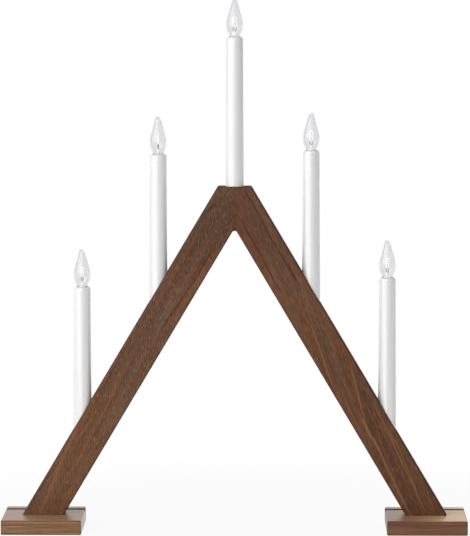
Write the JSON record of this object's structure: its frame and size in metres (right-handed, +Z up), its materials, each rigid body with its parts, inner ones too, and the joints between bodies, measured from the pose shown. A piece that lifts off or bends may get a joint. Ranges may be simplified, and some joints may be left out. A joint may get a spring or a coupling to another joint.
{
  "type": "candle arch",
  "caption": "A-shaped wooden candle arch on two foot plates, with upright white electric candles that hold small clear flame-shaped screw lamps.",
  "frame": {"origin": "on the floor, midway between the two feet", "axes": "+X across the arch to the viewer's right, +Y away from the viewer, +Z up"},
  "size_m": [0.46, 0.095, 0.5262],
  "materials": {
    "stained_wood": "dark brown stain under satin lacquer",
    "dowel_wood": "plain turned beech",
    "screw_steel": "zinc plated",
    "wire_cover": "soft white insulation",
    "sleeve_plastic": "natural nylon",
    "candle_plastic": "smooth moulded white",
    "holder_plastic": "moulded off-white",
    "brass": "bright drawn sheet",
    "lamp_glass": "clear blown",
    "cap_insulator": "black moulded insulator",
    "lead_wire": "dark oxidised wire",
    "filament": "pale filament"
  },
  "bodies": {
    "frame": {"left_leg": "stained_wood", "right_leg": "stained_wood", "left_foot": "stained_wood", "right_foot": "stained_wood", "apex_dowels": "dowel_wood", "left_foot_screws": "screw_steel", "right_foot_screws": "screw_steel", "feed_wire": "wire_cover", "return_wire": "wire_cover", "splice_sleeves": "sleeve_plastic", "link_wire_1": "wire_cover", "link_wire_2": "wire_cover", "link_wire_3": "wire_cover", "link_wire_4": "wire_cover", "candle_tube_left_low": "candle_plastic", "lampholder_left_low": "holder_plastic", "screw_shell_left_low": "brass", "centre_contact_left_low": "brass", "candle_tube_left_mid": "candle_plastic", "lampholder_left_mid": "holder_plastic", "screw_shell_left_mid": "brass", "centre_contact_left_mid": "brass", "candle_tube_top": "candle_plastic", "lampholder_top": "holder_plastic", "screw_shell_top": "brass", "centre_contact_top": "brass", "candle_tube_right_mid": "candle_plastic", "lampholder_right_mid": "holder_plastic", "screw_shell_right_mid": "brass", "centre_contact_right_mid": "brass", "candle_tube_right_low": "candle_plastic", "lampholder_right_low": "holder_plastic", "screw_shell_right_low": "brass", "centre_contact_right_low": "brass"},
    "lamp_base_left_low": {"bulb_base_left_low": "cap_insulator"},
    "lamp_left_low": {"bulb_glass_left_low": "lamp_glass", "bulb_cap_left_low": "brass", "bulb_leads_left_low": "lead_wire", "filament_left_low": "filament"},
    "lamp_base_left_mid": {"bulb_base_left_mid": "cap_insulator"},
    "lamp_left_mid": {"bulb_glass_left_mid": "lamp_glass", "bulb_cap_left_mid": "brass", "bulb_leads_left_mid": "lead_wire", "filament_left_mid": "filament"},
    "lamp_base_top": {"bulb_base_top": "cap_insulator"},
    "lamp_top": {"bulb_glass_top": "lamp_glass", "bulb_cap_top": "brass", "bulb_leads_top": "lead_wire", "filament_top": "filament"},
    "lamp_base_right_mid": {"bulb_base_right_mid": "cap_insulator"},
    "lamp_right_mid": {"bulb_glass_right_mid": "lamp_glass", "bulb_cap_right_mid": "brass", "bulb_leads_right_mid": "lead_wire", "filament_right_mid": "filament"},
    "lamp_base_right_low": {"bulb_base_right_low": "cap_insulator"},
    "lamp_right_low": {"bulb_glass_right_low": "lamp_glass", "bulb_cap_right_low": "brass", "bulb_leads_right_low": "lead_wire", "filament_right_low": "filament"}
  },
  "joints": [
    {"name": "lamp_left_low_lift", "type": "slide", "parent": "frame", "child": "lamp_base_left_low", "axis": [0, 0, 1], "range_m": [0, 0.00725]},
    {"name": "lamp_left_low_turn", "type": "hinge", "parent": "lamp_base_left_low", "child": "lamp_left_low", "pos_m": [-0.1512, 0, 0.23026], "axis": [0, 0, 1], "range_deg": [0, 1440]},
    {"name": "lamp_left_mid_lift", "type": "slide", "parent": "frame", "child": "lamp_base_left_mid", "axis": [0, 0, 1], "range_m": [0, 0.00725]},
    {"name": "lamp_left_mid_turn", "type": "hinge", "parent": "lamp_base_left_mid", "child": "lamp_left_mid", "pos_m": [-0.0756, 0, 0.36188], "axis": [0, 0, 1], "range_deg": [0, 1440]},
    {"name": "lamp_top_lift", "type": "slide", "parent": "frame", "child": "lamp_base_top", "axis": [0, 0, 1], "range_m": [0, 0.00725]},
    {"name": "lamp_top_turn", "type": "hinge", "parent": "lamp_base_top", "child": "lamp_top", "pos_m": [0, 0, 0.47771], "axis": [0, 0, 1], "range_deg": [0, 1440]},
    {"name": "lamp_right_mid_lift", "type": "slide", "parent": "frame", "child": "lamp_base_right_mid", "axis": [0, 0, 1], "range_m": [0, 0.00725]},
    {"name": "lamp_right_mid_turn", "type": "hinge", "parent": "lamp_base_right_mid", "child": "lamp_right_mid", "pos_m": [0.0756, 0, 0.36558], "axis": [0, 0, 1], "range_deg": [0, 1440]},
    {"name": "lamp_right_low_lift", "type": "slide", "parent": "frame", "child": "lamp_base_right_low", "axis": [0, 0, 1], "range_m": [0, 0.00725]},
    {"name": "lamp_right_low_turn", "type": "hinge", "parent": "lamp_base_right_low", "child": "lamp_right_low", "pos_m": [0.1512, 0, 0.23956], "axis": [0, 0, 1], "range_deg": [0, 1440]}
  ],
  "couplings": [
    {"joint": "lamp_left_low_lift", "follows": "lamp_left_low_turn", "m_per_rad": 0.00028807},
    {"joint": "lamp_left_mid_lift", "follows": "lamp_left_mid_turn", "m_per_rad": 0.00028807},
    {"joint": "lamp_top_lift", "follows": "lamp_top_turn", "m_per_rad": 0.00028807},
    {"joint": "lamp_right_mid_lift", "follows": "lamp_right_mid_turn", "m_per_rad": 0.00028807},
    {"joint": "lamp_right_low_lift", "follows": "lamp_right_low_turn", "m_per_rad": 0.00028807}
  ]
}
